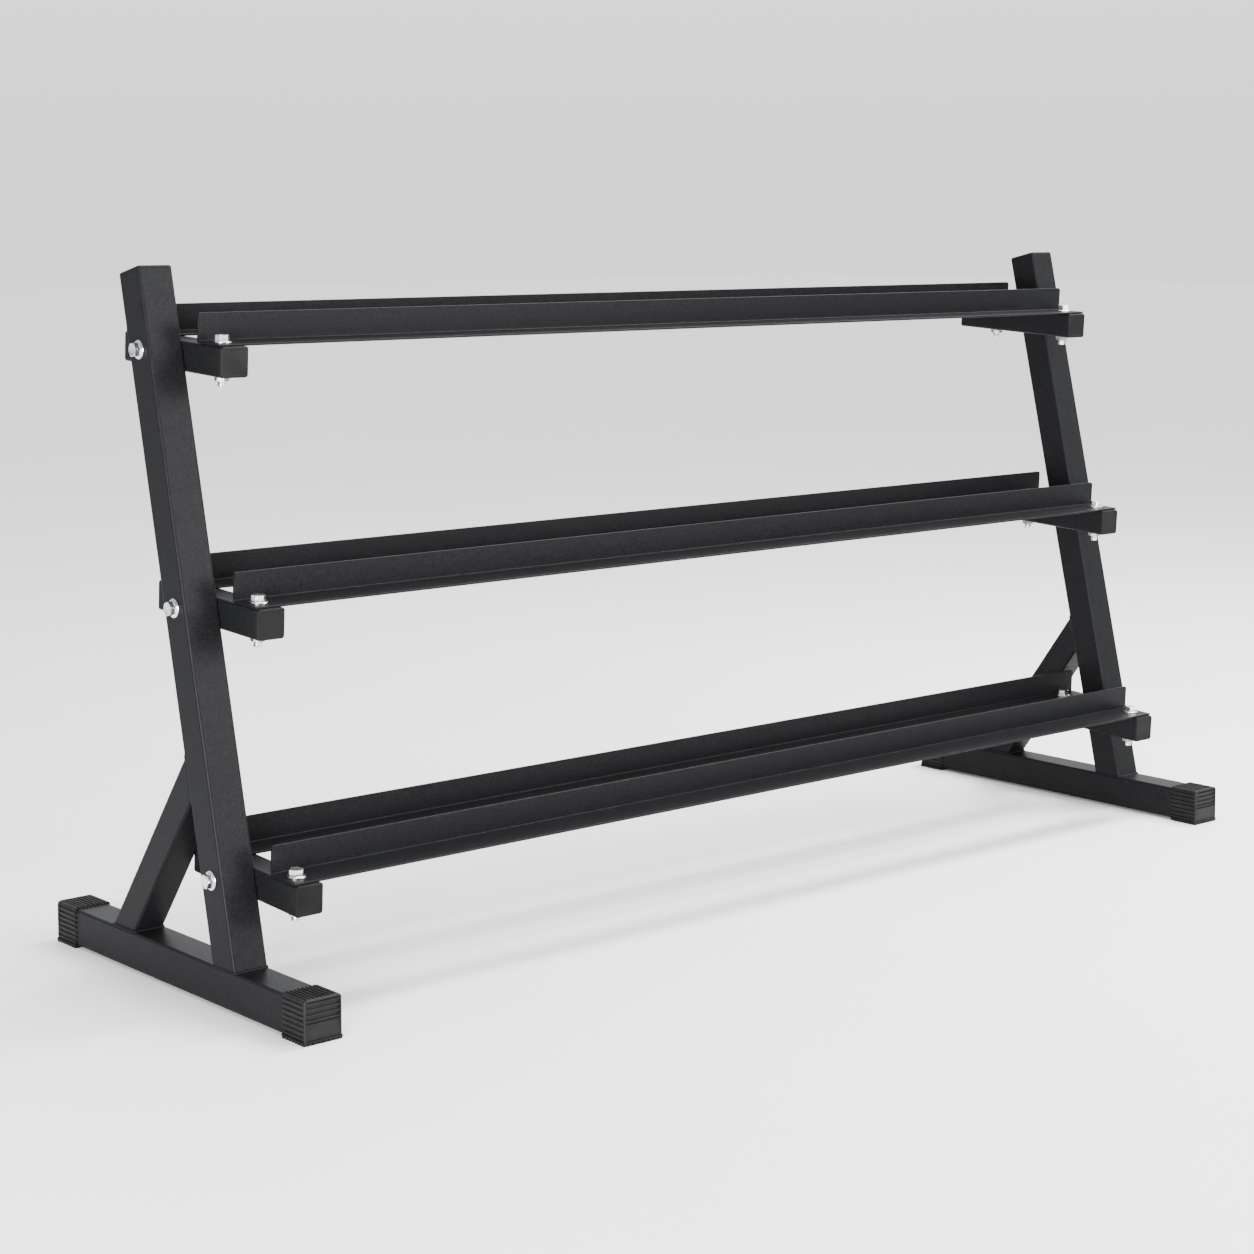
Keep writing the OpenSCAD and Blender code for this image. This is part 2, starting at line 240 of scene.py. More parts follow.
MATERIALS = {
    "powder_coat": powder_coat_material(),
    "rubber": rubber_material(),
    "plastic": plastic_material(),
    "zinc": zinc_material("zinc", (0.70, 0.71, 0.73), (0.79, 0.80, 0.82), (0.17, 0.27)),
    # The nuts' zinc is a copy of the bolts' zinc. Its higher roughness is real, but its much darker
    # base colour is painted shade for the nuts under the arms.
    "shade_painted_zinc": zinc_material("shade_painted_zinc", (0.14, 0.145, 0.15), (0.22, 0.225, 0.23), (0.38, 0.50)),
}

# ---------------------------------------------------------------- mesh helpers


class Shape:
    """Collects closed shells of quads and end faces, then becomes one object."""

    def __init__(self):
        self.verts = []
        self.faces = []

    def ring(self, points):
        start = len(self.verts)
        self.verts.extend(Vector(p) for p in points)
        return list(range(start, len(self.verts)))

    def join(self, a, b):
        """Quads between two rings of the same length."""
        n = len(a)
        for i in range(n):
            j = (i + 1) % n
            self.faces.append((a[i], a[j], b[j], b[i]))

    def loft(self, rings, close=True):
        """A shell through rings of points, with an end face on each end if close is true."""
        indices = [self.ring(r) for r in rings]
        for a, b in zip(indices, indices[1:]):
            self.join(a, b)
        if close:
            self.faces.append(tuple(reversed(indices[0])))
            self.faces.append(tuple(indices[-1]))
        return indices

    def hoop(self, rings):
        """A closed shell whose last ring joins its first, such as a tube with a wall."""
        indices = [self.ring(r) for r in rings]
        for a, b in zip(indices, indices[1:] + indices[:1]):
            self.join(a, b)

    def placed(self, other, matrix):
        """Adds another shape's shells, moved by a matrix."""
        start = len(self.verts)
        self.verts.extend(matrix @ v for v in other.verts)
        self.faces.extend(tuple(start + i for i in f) for f in other.faces)
        return self

    def mesh(self, name):
        mesh = bpy.data.meshes.new(name)
        mesh.from_pydata(self.verts, [], self.faces)
        bm = bmesh.new()
        bm.from_mesh(mesh)
        bmesh.ops.recalc_face_normals(bm, faces=bm.faces)
        bm.to_mesh(mesh)
        bm.free()
        return mesh


def make_piece(name, shape, material, nodes, smooth_angle=32):
    """One shown object: smooth across its small bevels, flat on its large faces."""
    mesh = shape.mesh(name)
    obj = bpy.data.objects.new(name, mesh)
    bpy.context.scene.collection.objects.link(obj)
    finish_piece(obj, material, nodes, smooth_angle)
    return obj


def finish_piece(obj, material, nodes, smooth_angle=32):
    obj.data.materials.clear()
    obj.data.materials.append(MATERIALS[material])
    obj.data.shade_smooth()
    obj.data.set_sharp_from_angle(angle=math.radians(smooth_angle))
    weighted = obj.modifiers.new("weighted_normals", "WEIGHTED_NORMAL")
    weighted.keep_sharp = True
    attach(obj, "root")
    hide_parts(*nodes)


def rounded_square(side, radius, steps=7):
    """Points of a square with round corners, anticlockwise from the +X side."""
    points = []
    for quarter, (sx, sy) in enumerate(((1, 1), (-1, 1), (-1, -1), (1, -1))):
        cx = sx * (side / 2 - radius)
        cy = sy * (side / 2 - radius)
        for i in range(steps + 1):
            a = math.pi / 2 * (quarter + i / steps)
            points.append((cx + radius * math.cos(a), cy + radius * math.sin(a)))
    return points


def circle_points(radius, z, steps):
    turn = 2 * math.pi / steps
    return [(radius * math.cos(turn * i), radius * math.sin(turn * i), z) for i in range(steps)]


def bore(obj, places, length, diameter=HOLE_D):
    """Drills round holes through a piece along each place's own Z axis."""
    cutter_shape = Shape()
    for place in places:
        drill = Shape()
        drill.loft([circle_points(diameter / 2, z, 40) for z in (-length / 2, length / 2)])
        cutter_shape.placed(drill, place)
    cutter = bpy.data.objects.new("cutter", cutter_shape.mesh("cutter"))
    bpy.context.scene.collection.objects.link(cutter)
    cut = obj.modifiers.new("bore", "BOOLEAN")
    cut.operation = "DIFFERENCE"
    cut.solver = "EXACT"
    cut.object = cutter
    bpy.context.view_layer.update()
    graph = bpy.context.evaluated_depsgraph_get()
    drilled = bpy.data.meshes.new_from_object(obj.evaluated_get(graph))
    obj.modifiers.remove(cut)
    old = obj.data
    obj.data = drilled
    bpy.data.meshes.remove(old)
    bpy.data.objects.remove(cutter)


# ---------------------------------------------------------------- tubes


def tube_shape(side, place, plane_a, plane_b):
    """Square tube along place's Z axis, cut at each end by a plane (point, normal), edges eased."""
    ease = 0.35 * MM
    axis = (place.to_3x3() @ Vector((0, 0, 1))).normalized()

    def cut(point, plane, shift):
        origin, normal = plane
        t = (origin - point).dot(normal) / axis.dot(normal)
        return point + axis * (t + shift)

    def ring(width, radius, plane, shift):
        outline = rounded_square(width, radius)
        return [cut(place @ Vector((x, y, 0)), plane, shift) for x, y in outline]

    inner = side - 2 * WALL
    inner_r = CORNER_R - WALL + 0.5 * MM
    shape = Shape()
    shape.hoop([
        ring(side - 2 * ease, CORNER_R - ease, plane_a, 0),
        ring(side, CORNER_R, plane_a, ease),
        ring(side, CORNER_R, plane_b, -ease),
        ring(side - 2 * ease, CORNER_R - ease, plane_b, 0),
        ring(inner, inner_r, plane_b, 0),
        ring(inner, inner_r, plane_a, 0),
    ])
    return shape


def tube_object(name, shape):
    obj = bpy.data.objects.new(name, shape.mesh(name))
    bpy.context.scene.collection.objects.link(obj)
    return obj


UP = Vector((0, 0, 1))
UPRIGHT_AXIS = Vector((0, math.sin(LEAN), math.cos(LEAN)))
UPRIGHT_REAR = Vector((0, math.cos(LEAN), -math.sin(LEAN)))


def upright_length():
    """Along the axis, from the foot to the tube's square-cut top."""
    top_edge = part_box("right_upright")[1].z
    return (top_edge - FOOT_TOP) / math.cos(LEAN)


def arm_bolt_place(side, tier):
    """On the upright's outer face, +Z pointing out from it."""
    bolt = middle(f"{side}_{tier}_arm_bolt")
    sign = SIDES[side]
    return Matrix.Translation((sign * OUTER_X, bolt.y, bolt.z)) @ Matrix.Rotation(
        sign * math.pi / 2, 4, "Y"
    )


def build_foot_tube(side):
    node = f"{side}_foot_tube"
    low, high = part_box(node)
    centre = middle(node)
    place = Matrix.Translation(centre) @ Matrix.Rotation(math.pi / 2, 4, "X")
    rear = (Vector((0, high.y, 0)), Vector((0, 1, 0)))
    front = (Vector((0, low.y, 0)), Vector((0, 1, 0)))
    obj = tube_object(f"{side}_foot_tube_skin", tube_shape(TUBE, place, rear, front))
    finish_piece(obj, "powder_coat", [node])


def build_upright(side):
    place = upright_frame(side)
    foot = (Vector((0, 0, FOOT_TOP)), UP)
    top = (place @ Vector((0, 0, upright_length())), UPRIGHT_AXIS)
    obj = tube_object(f"{side}_upright_skin", tube_shape(TUBE, place, foot, top))
    bore(obj, [arm_bolt_place(side, tier) for tier in TIERS], 3 * TUBE)
    finish_piece(obj, "powder_coat", [f"{side}_upright"])


def brace_line():
    """The line of the brace's rear face in the side view, from its foot to the upright."""
    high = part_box("right_brace")[1]
    rear_foot = Vector((0, high.y, FOOT_TOP))
    rear_head = Vector((0, upright_rear_y(high.z), high.z))
    return rear_foot, rear_head


def upright_rear_y(z):
    return UPRIGHT_BASE_Y + (z - FOOT_TOP) * math.tan(LEAN) + TUBE / math.cos(LEAN)


def brace_place(side):
    """On the brace's middle line at the foot, +Z along it, with its angle and the cut's half length."""
    rear_foot, rear_head = brace_line()
    line = rear_head - rear_foot
    angle = math.atan2(-line.y, line.z)
    half_cut = BRACE_TUBE / 2 / math.cos(angle)
    foot = Vector((SIDES[side] * FRAME_X, rear_foot.y - half_cut, FOOT_TOP))
    return Matrix.Translation(foot) @ Matrix.Rotation(angle, 4, "X"), angle, half_cut


def build_brace(side):
    place, _, _ = brace_place(side)
    foot = (Vector((0, 0, FOOT_TOP)), UP)
    rear_face = (Vector((0, upright_rear_y(FOOT_TOP), FOOT_TOP)), UPRIGHT_REAR)
    obj = tube_object(f"{side}_brace_skin", tube_shape(BRACE_TUBE, place, foot, rear_face))
    finish_piece(obj, "powder_coat", [f"{side}_brace"])


def build_arm(side, tier):
    x = SIDES[side] * ARM_X
    frame_of_arm = arm_frame(tier)
    place = frame_of_arm @ Matrix.Translation((x, 0, 0)) @ Matrix.Rotation(math.pi / 2, 4, "X")
    half = ARM_FULL_L / 2 - PLUG_HEAD
    along = frame_of_arm.to_3x3() @ Vector((0, 1, 0))
    rear = (frame_of_arm @ Vector((0, half, 0)), along)
    front = (frame_of_arm @ Vector((0, -half, 0)), along)
    obj = tube_object(f"{side}_{tier}_arm_skin", tube_shape(ARM, place, rear, front))
    holes = [frame_of_arm @ Matrix.Translation((x, along_arm(BOLT_Y[e]), 0)) for e in ENDS]
    bore(obj, holes, 2 * ARM)
    bore(obj, [arm_bolt_place(side, tier)], 2 * (TUBE + 2 * WALL))
    finish_piece(obj, "powder_coat", [f"{side}_{tier}_arm"])


# ---------------------------------------------------------------- angle rails


def fillet(corner, radius, start, steps=4):
    """Points round a convex corner: corner is the arc's centre, start its first angle in degrees."""
    points = []
    for i in range(steps + 1):
        a = math.radians(start + 90 * i / steps)
        points.append((corner[0] + radius * math.cos(a), corner[1] + radius * math.sin(a)))
    return points


def rail_outline(flange):
    """Cross-section of a rail: y back along the flange, z up the lip, with eased edges."""
    e = RAIL_EDGE_R
    inner = INNER_BEND_R
    points = fillet((e, e), e, 180)
    points += fillet((flange - BEND_R, BEND_R), BEND_R, 270, 8)
    points += fillet((flange - e, LIP_H - e), e, 0)
    points += fillet((flange - RAIL_T + e, LIP_H - e), e, 90)
    bend_y, bend_z = flange - RAIL_T - inner, RAIL_T + inner
    for i in range(7):
        a = math.radians(-90 * i / 6)
        points.append((bend_y + inner * math.cos(a), bend_z + inner * math.sin(a)))
    points += fillet((e, RAIL_T - e), e, 90)
    return points


def rail_shape(flange, half):
    """The outline drawn along X. Near each end the lip's top comes down round its corner."""
    outline = rail_outline(flange)
    r = RAIL_CORNER_R
    steps = 9
    stations = []
    for i in range(steps + 1):
        a = math.pi / 2 * i / steps
        stations.append((half - r + r * math.sin(a), LIP_H - r + r * math.cos(a)))
    stations = [(-x, top) for x, top in reversed(stations)] + stations
    rings = []
    for x, top in stations:
        rings.append([(x, y, min(z, top)) for y, z in outline])
    ease = 0.4 * MM
    rings[0] = [(x + ease, y, z) for x, y, z in rings[0]]
    rings[-1] = [(x - ease, y, z) for x, y, z in rings[-1]]
    rings.insert(0, inset_ring(rings[0], -half, ease))
    rings.append(inset_ring(rings[-1], half, ease))
    shape = Shape()
    shape.loft(rings)
    return shape


def inset_ring(ring, x, amount):
    """The same outline at another x, drawn in by amount along its own normals."""
    n = len(ring)
    drawn = []
    for i in range(n):
        before = Vector(ring[i - 1][1:])
        here = Vector(ring[i][1:])
        after = Vector(ring[(i + 1) % n][1:])
        edge_a = here - before
        edge_b = after - here
        if edge_a.length < 1e-9 or edge_b.length < 1e-9:
            drawn.append((x, here.x, here.y))
            continue
        tangent = (edge_a.normalized() + edge_b.normalized()).normalized()
        normal = Vector((-tangent.y, tangent.x))
        drawn.append((x, here.x + normal.x * amount, here.y + normal.y * amount))
    return drawn


def build_rail(tier, end):
    node = f"{tier}_{end}_rail"
    low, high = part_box(node)
    start, flange = FLANGE_Y[end]
    place = arm_frame(tier) @ Matrix.Translation((0, along_arm(start), ARM / 2))
    shape = Shape().placed(rail_shape(flange, high.x), place)
    obj = tube_object(f"{node}_skin", shape)
    holes = [
        arm_frame(tier) @ Matrix.Translation((s * ARM_X, along_arm(BOLT_Y[end]), ARM / 2))
        for s in SIDES.values()
    ]
    bore(obj, holes, 6 * RAIL_T)
    finish_piece(obj, "powder_coat", [node], 25)


# ---------------------------------------------------------------- bolts and nuts

HEX_STEPS = 72


def hex_radius(angle):
    turn = math.pi / 3
    folded = (angle + turn / 2) % turn - turn / 2
    sharp = HEX_AF / 2 / math.cos(folded)
    return min(sharp, HEX_AF / math.sqrt(3) - 0.25 * MM)


def hex_ring(scale, height_of):
    points = []
    for i in range(HEX_STEPS):
        a = 2 * math.pi * i / HEX_STEPS
        r = hex_radius(a) * scale
        points.append((r * math.cos(a), r * math.sin(a), height_of(hex_radius(a))))
    return points


def chamfer(height, flats=HEX_AF / 2 * 0.985):
    """Height of a hexagon's edge under a 30 degree chamfer cone that starts at its flats."""
    return lambda r: height - max(0.0, r - flats) * math.tan(math.radians(30))


def washer_face(shape, radius, bottom, top, neck):
    """The flange under a head: flat seat, thin round rim and a cone up to the hexagon."""
    rim = 0.35 * MM
    shape.loft([
        circle_points(radius - rim, bottom, HEX_STEPS),
        circle_points(radius, bottom + rim, HEX_STEPS),
        circle_points(radius, bottom + 3 * rim, HEX_STEPS),
        circle_points(radius - rim, bottom + 4 * rim, HEX_STEPS),
        circle_points((radius + neck) / 2, (bottom + top) / 2 + rim, HEX_STEPS),
        circle_points(neck, top, HEX_STEPS),
    ])


def threaded_rod(length, threaded):
    """Shank down from Z = 0, with a rolled thread over its last part and a chamfered tip."""
    steps = 28
    depth = 0.9 * MM
    rows = 8
    outer = BOLT_D / 2 - 0.05 * MM
    start = -(length - threaded)
    rings = [circle_points(outer, z, steps) for z in (0.0, start)]
    count = int(threaded / THREAD_PITCH * rows)
    for j in range(1, count + 1):
        z = start - threaded * j / count
        tip = min(1.0, (length + z) / (1.2 * MM))
        ring = []
        for i in range(steps):
            turn = i / steps
            phase = (z / THREAD_PITCH + turn) % 1.0
            groove = depth * max(0.0, min(1.0, 1.35 * (1 - abs(2 * phase - 1)) - 0.1))
            r = min(outer - groove, outer - depth * (1 - tip) * 1.2)
            a = 2 * math.pi * turn
            ring.append((r * math.cos(a), r * math.sin(a), z))
        rings.append(ring)
    shape = Shape()
    shape.loft(rings)
    return shape


def flange_bolt_shape(length, threaded):
    """Hexagon flange bolt: seat at Z = 0, head above it, shank below."""
    top = BOLT_FLANGE_H + HEAD_H
    shape = Shape()
    washer_face(shape, BOLT_FLANGE_D / 2, 0, BOLT_FLANGE_H + 0.6 * MM, HEX_AF / 2 * 0.97)
    edge = chamfer(top)
    crown = HEX_AF / 2 * 0.93
    shape.loft([
        hex_ring(0.98, lambda r: 1.0 * MM),
        hex_ring(1.0, lambda r: 1.6 * MM),
        hex_ring(1.0, edge),
        circle_points(crown, top, HEX_STEPS),
        circle_points(crown - 0.7 * MM, top - 0.15 * MM, HEX_STEPS),
        circle_points(crown - 1.6 * MM, top - 0.45 * MM, HEX_STEPS),
        circle_points(2 * MM, top - 0.5 * MM, HEX_STEPS),
    ])
    return shape.placed(threaded_rod(length, threaded), Matrix.Translation((0, 0, 0.2 * MM)))


def flange_nut_shape(height, flange_d):
    """Hexagon nut with a bore: seat at Z = 0. It has a flange if flange_d isn't zero."""
    hole = BOLT_D / 2 + 0.1 * MM
    edge = chamfer(height)
    rings = [circle_points(hole, 0, HEX_STEPS)]
    if flange_d:
        rim = 0.3 * MM
        rings += [
            circle_points(flange_d / 2 - rim, 0, HEX_STEPS),
            circle_points(flange_d / 2, rim, HEX_STEPS),
            circle_points(flange_d / 2, 3 * rim, HEX_STEPS),
            circle_points(flange_d / 2 - rim, 4 * rim, HEX_STEPS),
        ]
        rings.append(hex_ring(1.02, lambda r: 1.9 * MM))
    else:
        rings.append(circle_points(HEX_AF / 2 * 0.96, 0, HEX_STEPS))
        slope = math.tan(math.radians(30))
        rings.append(hex_ring(1.0, lambda r: max(0.0, r - HEX_AF / 2) * slope))
    rings += [
        hex_ring(1.0, lambda r: 2.3 * MM),
        hex_ring(1.0, edge),
        circle_points(HEX_AF / 2 * 0.93, height, HEX_STEPS),
        circle_points(hole + 0.8 * MM, height, HEX_STEPS),
        circle_points(hole, height - 0.6 * MM, HEX_STEPS),
    ]
    shape = Shape()
    shape.hoop(rings)
    return shape


def build_arm_bolt(side, tier, turn):
    place = arm_bolt_place(side, tier) @ Matrix.Rotation(math.radians(turn), 4, "Z")
    shape = Shape().placed(flange_bolt_shape(ARM_BOLT_L, 30 * MM), place)
    name = f"{side}_{tier}_arm_bolt"
    make_piece(f"{name}_skin", shape, "zinc", [name], 24)


def build_weld_nuts(side):
    shape = Shape()
    for tier in TIERS:
        bolt = arm_bolt_place(side, tier)
        place = bolt @ Matrix.Translation((0, 0, -(TUBE + WALL))) @ Matrix.Rotation(math.pi, 4, "X")
        turn = Matrix.Rotation(math.radians(30) - SLOPE, 4, "Z")
        shape.placed(flange_nut_shape(WELD_NUT_H, 0), place @ turn)
    make_piece(f"{side}_weld_nuts_skin", shape, "powder_coat", [f"{side}_weld_nuts"], 24)


def build_rail_hardware(tier, turns):
    bolts = Shape()
    nuts = Shape()
    places = [(s, e) for s in SIDES.values() for e in ENDS]
    for (s, end), turn in zip(places, turns):
        spin = Matrix.Rotation(math.radians(turn), 4, "Z")
        top = Matrix.Translation((s * ARM_X, along_arm(BOLT_Y[end]), ARM / 2 + RAIL_T))
        under = Matrix.Translation((s * ARM_X, along_arm(BOLT_Y[end]), -ARM / 2))
        bolts.placed(flange_bolt_shape(RAIL_BOLT_L, 24 * MM), arm_frame(tier) @ top @ spin)
        flip = Matrix.Rotation(math.pi, 4, "X")
        nut = flange_nut_shape(BOLT_FLANGE_H + NUT_H, NUT_FLANGE_D)
        nuts.placed(nut, arm_frame(tier) @ under @ flip @ spin)
    make_piece(f"{tier}_rail_bolts_skin", bolts, "zinc", [f"{tier}_rail_bolts"], 24)
    # The nuts take the darkened zinc copy, which is painted shade under the arms.
    make_piece(f"{tier}_rail_nuts_skin", nuts, "shade_painted_zinc", [f"{tier}_rail_nuts"], 24)


# ---------------------------------------------------------------- plugs


def square_ring(side, radius, z):
    return [(x, y, z) for x, y in rounded_square(side, radius)]


def plug_shape(side, edge):
    """Moulded tube plug: +Z points out of the tube. A round-edged head with a shallow panel."""
    head = PLUG_HEAD
    shape = Shape()
    rings = [
        square_ring(side - 0.6 * MM, CORNER_R - 0.3 * MM, 0),
        square_ring(side, CORNER_R, 0.3 * MM),
        square_ring(side, CORNER_R, head - edge),
    ]
    for i in range(1, 6):
        a = math.pi / 2 * i / 5
        inset = edge * (1 - math.cos(a))
        rise = head - edge + edge * math.sin(a)
        rings.append(square_ring(side - 2 * inset, CORNER_R - 0.4 * inset, rise))
    rim = side - 2 * edge - 2.4 * MM
    rings += [
        square_ring(rim, 2.8 * MM, head),
        square_ring(rim - 0.5 * MM, 2.6 * MM, head - 0.12 * MM),
        square_ring(rim - 1.0 * MM, 2.4 * MM, head - 0.45 * MM),
        square_ring(rim - 1.8 * MM, 2.2 * MM, head - 0.55 * MM),
    ]
    shape.loft(rings)
    inside = side - 2 * WALL - 0.4 * MM
    core = inside - 2.4 * MM
    body = [square_ring(core, 2 * MM, 0.2 * MM)]
    fins = 4
    pitch = PLUG_DEPTH / fins
    for i in range(fins):
        z = -pitch * (i + 0.3)
        body += [
            square_ring(core, 2 * MM, z),
            square_ring(inside, 1.4 * MM, z - 0.3 * MM),
            square_ring(inside - 0.6 * MM, 1.4 * MM, z - 1.2 * MM),
            square_ring(core, 2 * MM, z - 1.5 * MM),
        ]
    body += [
        square_ring(core - 0.8 * MM, 2 * MM, -PLUG_DEPTH),
        square_ring(core - 4 * MM, 1.5 * MM, -PLUG_DEPTH),
        square_ring(core - 4 * MM, 1.5 * MM, -2 * MM),
    ]
    shape.loft(body)
    return shape


def build_plugs():
    for side in SIDES:
        place = upright_frame(side) @ Matrix.Translation((0, 0, upright_length()))
        node = f"{side}_upright_plug"
        make_piece(f"{node}_skin", Shape().placed(plug_shape(TUBE, 3 * MM), place), "plastic", [node])
        for tier in TIERS:
            for end, sign in ENDS.items():
                node = f"{side}_{tier}_{end}_plug"
                half = ARM_FULL_L / 2 - PLUG_HEAD
                seat = Matrix.Translation((SIDES[side] * ARM_X, sign * half, 0))
                place = arm_frame(tier) @ seat @ Matrix.Rotation(-sign * math.pi / 2, 4, "X")
                shape = Shape().placed(plug_shape(ARM, 2 * MM), place)
                make_piece(f"{node}_skin", shape, "plastic", [node])


# ---------------------------------------------------------------- foot caps

CAP_SIDE = TUBE + 2 * CAP_WALL
CAP_BODY = CAP_SIDE - 1.6 * MM
CAP_CORNER_R = 5.5 * MM
RIB_H = 2.2 * MM
SIDE_RIBS = 7
TOP_RIBS = 8
END_RIBS = 4
END_RECESS = 2.8 * MM
TREAD_H = 3.2 * MM
LEDGE_H = 2.2 * MM
END_TREADS = 8
SIDE_TREADS = 7
TREAD_W = 4.2 * MM


def rib_wave(distance, pitch, ridge=0.48):
    """Height, 0 to 1, of a row of round-topped ribs; a ridge fills that share of the pitch."""
    off_crest = abs((distance / pitch) % 1.0 - 0.5) * 2 / ridge
    return (1 - off_crest ** 4) ** 0.5 if off_crest < 1 else 0.0


def cap_outline(ribbed, inset):
    """Points (x, z) of a cap's top and sides. With ribbed false, the ribs' height is a smooth rim."""
    side = CAP_BODY / 2
    top = CAP_SIDE
    low = TREAD_H + LEDGE_H
    core = side - RIB_H
    flat = side - CAP_CORNER_R
    flat_top = top - CAP_CORNER_R
    side_pitch = (flat_top - low) / SIDE_RIBS
    top_pitch = 2 * flat / TOP_RIBS
    steps = 98
    points = []

    def lift(distance, pitch):
        wave = rib_wave(distance, pitch) if ribbed else 0.9
        return RIB_H * wave - inset

    for i in range(steps + 1):
        z = low + (flat_top - low) * i / steps
        points.append((core + lift(z - low, side_pitch), z))
    radius = CAP_CORNER_R - RIB_H * 0.2 - inset
    for i in range(1, 10):
        a = math.pi / 2 * i / 10
        points.append((flat + radius * math.cos(a), flat_top + radius * math.sin(a)))
    for i in range(steps + 1):
        x = flat - 2 * flat * i / steps
        points.append((x, top - RIB_H + lift(x + flat, top_pitch)))
    for i in range(1, 10):
        a = math.pi / 2 * (1 + i / 10)
        points.append((-flat + radius * math.cos(a), flat_top + radius * math.sin(a)))
    for i in range(steps + 1):
        z = flat_top - (flat_top - low) * i / steps
        points.append((-core - lift(z - low, side_pitch), z))
    return points


def cap_ring(y, ribbed=True, inset=0.0):
    """A cap's closed outline at a distance y from its outer end: ribs, ledge and tread band."""
    foot = CAP_BODY / 2 - RIB_H - inset
    ledge = CAP_SIDE / 2 - inset
    ease = 0.5 * MM
    right = [
        (foot, 0),
        (foot, TREAD_H),
        (ledge - ease, TREAD_H),
        (ledge, TREAD_H + ease),
        (ledge, TREAD_H + LEDGE_H - 2 * ease),
        (ledge - ease, TREAD_H + LEDGE_H - ease),
    ]
    left = [(-x, z) for x, z in reversed(right)]
    return [(x, y, z) for x, z in right + cap_outline(ribbed, inset) + left]


def bar_shape(half_w, y, z, depth, height):
    """A round-fronted bar across the cap's end, standing out from y towards the viewer."""
    steps = 10
    section = []
    for i in range(steps + 1):
        a = math.pi * i / steps
        section.append((y - depth * math.sin(a), z - height / 2 * math.cos(a)))
    section.append((y + 0.5 * MM, z + height / 2))
    section.append((y + 0.5 * MM, z - height / 2))
    shape = Shape()
    shape.loft([[(x, sy, sz) for sy, sz in section] for x in (-half_w, half_w)])
    return shape


def rounded_rectangle(width, height, radius, centre, y):
    """Points of a rounded rectangle that faces along Y."""
    points = []
    for quarter, (sx, sz) in enumerate(((1, 1), (-1, 1), (-1, -1), (1, -1))):
        for i in range(5):
            a = math.pi / 2 * (quarter + i / 4)
            x = centre[0] + sx * (width / 2 - radius) + radius * math.cos(a)
            z = centre[1] + sz * (height / 2 - radius) + radius * math.sin(a)
            points.append((x, y, z))
    return points


def block_shape(low, high, ease):
    """A block with its front edges eased, from its front at low Y to its back at high Y."""
    centre = ((low[0] + high[0]) / 2, (low[2] + high[2]) / 2)
    width, height = high[0] - low[0], high[2] - low[2]
    shape = Shape()
    rings = []
    for inset, y in ((2, low[1]), (0.6, low[1] + 0.3 * ease), (0, low[1] + ease), (0, high[1])):
        trim = inset * ease
        rings.append(rounded_rectangle(width - trim, height - trim, ease, centre, y))
    shape.loft(rings)
    return shape


def panel_shape(width, height, centre, front, back):
    """A bordered panel: a raised frame round a field that lies a little deeper."""
    border = 1.6 * MM
    deep = 0.6 * MM
    r = 1.2 * MM
    field_w = width - 2 * border
    field_h = height - 2 * border
    shape = Shape()
    shape.loft([
        rounded_rectangle(width, height, r, centre, back),
        rounded_rectangle(width, height, r, centre, front + 0.4 * MM),
        rounded_rectangle(width - 0.8 * MM, height - 0.8 * MM, r, centre, front),
        rounded_rectangle(field_w, field_h, r * 0.7, centre, front),
        rounded_rectangle(field_w - deep, field_h - deep, r * 0.6, centre, front + deep),
    ])
    return shape


def cap_sleeve():
    """The sleeve and its end wall, open at the back, with a bore that fits the tube."""
    shape = Shape()
    rim = 2.4 * MM
    indices = shape.loft([
        cap_ring(0.15 * MM, False, rim),
        cap_ring(0.35 * MM, False, rim * 0.55),
        cap_ring(0.9 * MM, False, rim * 0.22),
        cap_ring(1.8 * MM, False, 0.0),
        cap_ring(2.6 * MM, False, 0.0),
        cap_ring(3.4 * MM, True, 0.0),
        cap_ring(CAP_L - 1.0 * MM, True, 0.0),
        cap_ring(CAP_L, True, 0.6 * MM),
    ], close=False)
    centre = CAP_SIDE / 2
    last = indices[0]
    border = [shape.verts[i] for i in last]
    for scale, y in ((0.97, 0.15 * MM), (0.95, END_RECESS)):
        ring = [(p.x * scale, y, centre + (p.z - centre) * scale) for p in border]
        now = shape.ring(ring)
        shape.join(now, last)
        last = now
    shape.faces.append(tuple(last))
    half = TUBE / 2 + 0.05 * MM
    mouth = [shape.verts[i].copy() for i in indices[-1]]
    last = indices[-1]
    for y in (CAP_L, CAP_WALL):
        ring = []
        for p in mouth:
            reach = max(abs(p.x), abs(p.z - centre))
            ring.append((p.x * half / reach, y, centre + (p.z - centre) * half / reach))
        now = shape.ring(ring)
        shape.join(last, now)
        last = now
    shape.faces.append(tuple(last))
    return shape


